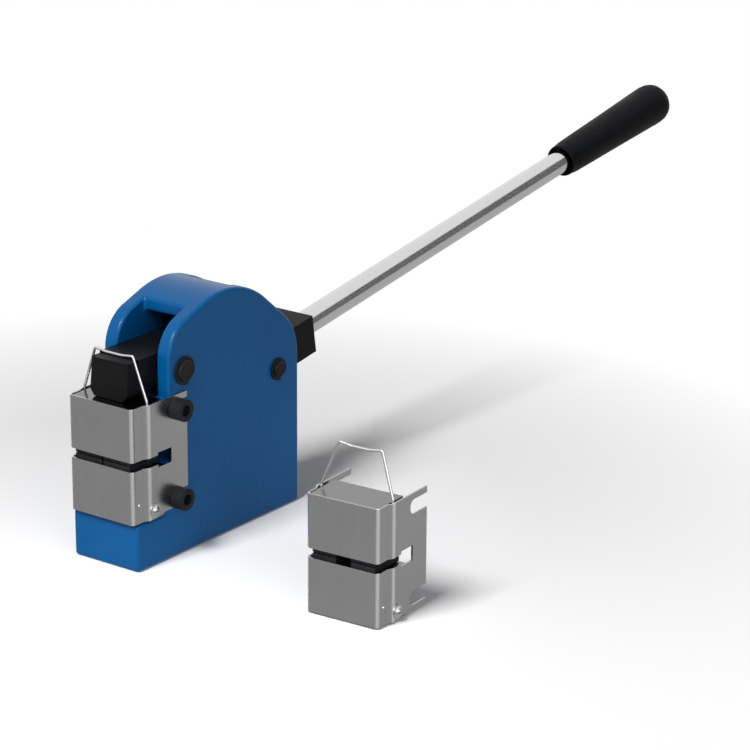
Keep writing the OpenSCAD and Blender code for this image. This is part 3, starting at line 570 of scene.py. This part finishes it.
class OBJECT_OT_stretcher_blocks(bpy.types.Operator):
    """Builds the ground jaw blocks and dresses what they hold inside"""
    bl_idname = "object.stretcher_blocks"
    bl_label = "Jaw blocks"

    def execute(self, context):
        sizes = context.scene.stretcher_edges
        for name in JAW_SETS:
            for level in ("lower", "upper"):
                soften(f"{name}_{level}_block", f"{name}_{level}_ground_block",
                       finish_of("block"), sizes.block_edge, segments=2)
                dress(f"{name}_{level}_keeper_pins", finish_of("bright"))
                dress(f"{name}_{level}_springs", finish_of("bright"))
        return {"FINISHED"}


class OBJECT_OT_stretcher_dies(bpy.types.Operator):
    """Builds the eight serrated gripping dies"""
    bl_idname = "object.stretcher_dies"
    bl_label = "Gripping dies"

    def execute(self, context):
        for name in JAW_SETS:
            for level in ("lower", "upper"):
                for side in ("left", "right"):
                    node = f"{name}_{level}_{side}_die"
                    soften(node, f"{node}_hardened", finish_of("die_black"), TOOTH_EDGE,
                           segments=1)
        return {"FINISHED"}


# Sides of the wire, and the turn in degrees that one step of a bend takes
WIRE_SIDES = 20
BEND_STEP = 12

# Half of a bail as width and height over its pivot, from the foot up, in millimetres, and the
# half width of its top bar's dip
BAIL_HALF = ((22.72, 0), (28.7, 0), (28.7, 6.9), (17.3, 38.2))
DIP_HALF = 7.0


def bent_wire(points, radius, bend):
    """Sweeps a round wire along a flat path in X and Z, with rounded bends."""
    bm = bmesh.new()
    path = [Vector((x, 0, z)) for x, z in points]
    headings = [(b - a).normalized() for a, b in zip(path, path[1:])]
    bmesh.ops.create_circle(bm, cap_ends=False, segments=WIRE_SIDES, radius=radius)
    first = headings[0].to_track_quat("Z", "Y").to_matrix().to_4x4()
    bmesh.ops.transform(bm, matrix=Matrix.Translation(path[0]) @ first, verts=bm.verts)
    ring = list(bm.edges)
    bmesh.ops.holes_fill(bm, edges=ring)
    used = 0.0
    for i, heading in enumerate(headings):
        last = i == len(headings) - 1
        turn = 0.0 if last else heading.angle(headings[i + 1])
        side = 1.0 if last else heading.cross(headings[i + 1]).y
        cut = 0.0 if last else bend * math.tan(turn / 2)
        length = (path[i + 1] - path[i]).length - used - cut
        moved = bmesh.ops.extrude_edge_only(bm, edges=ring)["geom"]
        ring = [e for e in moved if isinstance(e, bmesh.types.BMEdge)
                and all(v in moved for v in e.verts)]
        verts = [v for v in moved if isinstance(v, bmesh.types.BMVert)]
        bmesh.ops.translate(bm, vec=heading * length, verts=verts)
        ring = [e for e in ring if len(e.link_faces) == 1]
        if not last:
            centre = sum((v.co for v in verts), Vector()) / len(verts)
            inward = (headings[i + 1] - heading * heading.dot(headings[i + 1])).normalized()
            spun = bmesh.ops.spin(
                bm, geom=ring + verts, cent=centre + inward * bend,
                axis=(0, 1 if side > 0 else -1, 0), dvec=(0, 0, 0), angle=turn,
                steps=max(2, round(math.degrees(turn) / BEND_STEP)), use_merge=False,
                use_duplicate=False)["geom_last"]
            ring = [e for e in spun if isinstance(e, bmesh.types.BMEdge)]
        used = cut
    bmesh.ops.holes_fill(bm, edges=ring)
    bmesh.ops.recalc_face_normals(bm, faces=bm.faces)
    return bm


class OBJECT_OT_stretcher_bails(bpy.types.Operator):
    """Builds the wire bails from round bent wire"""
    bl_idname = "object.stretcher_bails"
    bl_label = "Wire bails"

    def execute(self, context):
        sizes = context.scene.stretcher_edges
        dipped = (DIP_HALF, BAIL_HALF[-1][1] - sizes.wire_dip / MM)
        half = [*BAIL_HALF, dipped]
        path = half + [(-x, z) for x, z in reversed(half)]
        for name in JAW_SETS:
            bm = bent_wire([(x * MM, z * MM) for x, z in path], WIRE_RADIUS, sizes.wire_bend)
            place = SET_PLACE[name] @ Matrix.Translation(BAIL_PIVOT)
            lean = Matrix.Rotation(BAIL_LEAN[name], 4, "X")
            bmesh.ops.transform(bm, matrix=place @ lean, verts=bm.verts)
            put_in_scene(bm, f"{name}_bent_bail", finish_of("wire"), f"{name}_bail_wire",
                         (f"{name}_bail",))
        return {"FINISHED"}


# Floor, light and camera

# Each lamp's name, side in metres, power and place, all aimed at one point
LAMPS = (
    ("key_softbox", 0.6, 34.0, (0.05, -1.1, 1.45)),
    ("side_softbox", 1.2, 11.0, (1.7, -0.8, 0.8)),
)
LAMP_TARGET = Vector((0.05, 0.0, 0.05))

# Shade of the sky as light, up to the horizon and straight above
SKY_LOW = (0.03, 0.03, 0.032, 1)
SKY_HIGH = (0.12, 0.12, 0.125, 1)

# Side, middle and facing of the floor and of the grey card, in metres
FLOOR_PANEL = (60.0, (0, 0, -0.2 * MM), (0, 0, 1))
CARD_PANEL = (1.6, (1.5, 1.9, 0.85), (-0.6, -0.8, -0.1))

# The photo's camera: turn round the part, height angle and roll, place, and focal length
# and width of the picture in pixels
CAMERA_TURN, CAMERA_RISE, CAMERA_ROLL = 0.635, 0.323, 0.007
CAMERA_PLACE = (1.292652, -1.52675, 0.785719)
FOCAL_PIXELS = 2925.095
PICTURE_PIXELS = 750
SENSOR_WIDTH = 36.0


def flat_panel(name, size, place, normal, material):
    bm = bmesh.new()
    bmesh.ops.create_grid(bm, x_segments=1, y_segments=1, size=size / 2)
    mesh = bpy.data.meshes.new(name)
    bm.to_mesh(mesh)
    bm.free()
    panel = bpy.data.objects.new(name, mesh)
    panel.location = place
    panel.rotation_euler = Vector(normal).to_track_quat("Z", "Y").to_euler()
    bpy.context.scene.collection.objects.link(panel)
    mesh.materials.append(material)


def lamp(name, side, power, place):
    light = bpy.data.lights.new(name, "AREA")
    light.shape = "SQUARE"
    light.size = side
    light.energy = power
    holder = bpy.data.objects.new(name, light)
    holder.location = place
    aim = LAMP_TARGET - Vector(place)
    holder.rotation_euler = aim.to_track_quat("-Z", "Y").to_euler()
    bpy.context.scene.collection.objects.link(holder)


def pale_floor(shade):
    """White paper that takes a shadow and fades to plain white from 0.26 to 0.54 m away.

    Mirrored in the metal pieces it is a glowing mid grey, a painted reflection a little darker
    towards +X and +Y."""
    f = Finish("pale_floor")
    paper = f.noise(3, 2)
    tone = f.mixed(paper, colour(shade), lighter(shade, 1.03))
    lit = f.add("ShaderNodeBsdfDiffuse", {}, {"Color": tone})
    x, y = f.split(f.place)
    # Painted reflection: in reflections the floor glows grey instead of showing its lit look
    painted_reflection = f.add("ShaderNodeEmission", {}, {
        "Color": f.ramp(x + y + 0.5, (0.1, 0.52), (0.6, 0.44)), "Strength": 1.0})
    glossy = f.add("ShaderNodeLightPath", out="Is Glossy Ray")
    near = f.add("ShaderNodeMixShader", {}, {0: glossy, 1: lit, 2: painted_reflection})
    far = f.add("ShaderNodeEmission", {}, {"Color": (1, 1, 1, 1), "Strength": 1.0})
    distance = f.add("ShaderNodeVectorMath", {"operation": "LENGTH"}, {0: f.place}, out="Value")
    fade = f.ramp(distance * 0.5, (0.13, 0.0), (0.27, 1.0))
    seen = f.add("ShaderNodeLightPath", out="Is Camera Ray")
    f.add_output(f.add("ShaderNodeMixShader", {}, {0: fade * seen, 1: near, 2: far}))
    return f.material


def grey_card():
    """A grey card beside the set, which the polished bar mirrors and no camera sees."""
    f = Finish("grey_card")
    card = f.add("ShaderNodeBsdfDiffuse", {}, {"Color": (0.42, 0.42, 0.43, 1)})
    clear = f.add("ShaderNodeBsdfTransparent", {}, {"Color": (1, 1, 1, 1)})
    seen = f.add("ShaderNodeLightPath", out="Is Camera Ray")
    f.add_output(f.add("ShaderNodeMixShader", {}, {0: seen, 1: card, 2: clear}))
    return f.material


def studio_world(scene):
    """White to the camera and in mirrors, and as light a dim sky that pales upwards."""
    world = scene.world or bpy.data.worlds.new("studio")
    scene.world = world
    world.use_nodes = True
    tree = world.node_tree
    tree.nodes.clear()
    place = tree.nodes.new("ShaderNodeTexCoord")
    parts = tree.nodes.new("ShaderNodeSeparateXYZ")
    sky = tree.nodes.new("ShaderNodeValToRGB")
    sky.color_ramp.elements[0].color = SKY_LOW
    sky.color_ramp.elements[1].color = SKY_HIGH
    path = tree.nodes.new("ShaderNodeLightPath")
    seen = tree.nodes.new("ShaderNodeMath")
    seen.operation = "MAXIMUM"
    mix = tree.nodes.new("ShaderNodeMix")
    mix.data_type = "RGBA"
    mix.inputs[7].default_value = (1, 1, 1, 1)
    background = tree.nodes.new("ShaderNodeBackground")
    output = tree.nodes.new("ShaderNodeOutputWorld")
    tree.links.new(place.outputs["Generated"], parts.inputs[0])
    tree.links.new(parts.outputs["Z"], sky.inputs["Fac"])
    tree.links.new(path.outputs["Is Camera Ray"], seen.inputs[0])
    tree.links.new(path.outputs["Is Glossy Ray"], seen.inputs[1])
    tree.links.new(seen.outputs[0], mix.inputs[0])
    tree.links.new(sky.outputs["Color"], mix.inputs[6])
    tree.links.new(mix.outputs[2], background.inputs["Color"])
    tree.links.new(background.outputs[0], output.inputs["Surface"])


class OBJECT_OT_stretcher_stage(bpy.types.Operator):
    """Lays the pale floor and sets the studio light and the camera"""
    bl_idname = "object.stretcher_stage"
    bl_label = "Floor, light and camera"

    def execute(self, context):
        colours = context.scene.stretcher_colours
        flat_panel("floor", *FLOOR_PANEL, pale_floor(colours.floor_white))
        studio_world(context.scene)
        for values in LAMPS:
            lamp(*values)
        flat_panel("grey_card", *CARD_PANEL, grey_card())

        camera = bpy.data.cameras.new("camera")
        camera.sensor_width = SENSOR_WIDTH
        camera.lens = SENSOR_WIDTH * FOCAL_PIXELS / PICTURE_PIXELS
        camera.clip_start = 0.01
        camera.clip_end = 100
        holder = bpy.data.objects.new("camera", camera)
        turn = Matrix.Rotation(CAMERA_TURN, 4, "Z")
        tilt = Matrix.Rotation(math.pi / 2 - CAMERA_RISE, 4, "X")
        roll = Matrix.Rotation(CAMERA_ROLL, 4, "Z")
        holder.matrix_world = Matrix.Translation(CAMERA_PLACE) @ turn @ tilt @ roll
        context.scene.collection.objects.link(holder)
        context.scene.camera = holder
        context.scene.view_settings.view_transform = "Standard"
        return {"FINISHED"}


STEPS = (
    OBJECT_OT_stretcher_body, OBJECT_OT_stretcher_pins, OBJECT_OT_stretcher_rocker,
    OBJECT_OT_stretcher_lever, OBJECT_OT_stretcher_grip, OBJECT_OT_stretcher_clamp_screws,
    OBJECT_OT_stretcher_housings, OBJECT_OT_stretcher_blocks, OBJECT_OT_stretcher_dies,
    OBJECT_OT_stretcher_bails, OBJECT_OT_stretcher_stage,
)


class VIEW3D_PT_stretcher(bpy.types.Panel):
    """Lists the pieces, their sizes and their colours"""
    bl_label = "Shrinker stretcher"
    bl_idname = "VIEW3D_PT_stretcher"
    bl_space_type = "VIEW_3D"
    bl_region_type = "UI"
    bl_category = "Shrinker stretcher"

    def draw(self, context):
        for group in (context.scene.stretcher_edges, context.scene.stretcher_colours):
            for name in group.bl_rna.properties.keys():
                if name not in ("rna_type", "name"):
                    self.layout.prop(group, name)
        for step in STEPS:
            self.layout.operator(step.bl_idname)


CLASSES = (EdgeSizes, FinishColours, *STEPS, VIEW3D_PT_stretcher)


def register():
    for cls in CLASSES:
        bpy.utils.register_class(cls)
    bpy.types.Scene.stretcher_edges = PointerProperty(type=EdgeSizes)
    bpy.types.Scene.stretcher_colours = PointerProperty(type=FinishColours)


def unregister():
    del bpy.types.Scene.stretcher_colours
    del bpy.types.Scene.stretcher_edges
    for cls in reversed(CLASSES):
        bpy.utils.unregister_class(cls)


def main():
    register()
    for step in STEPS:
        group, name = step.bl_idname.split(".")
        getattr(getattr(bpy.ops, group), name)()


if __name__ == "__main__":
    main()
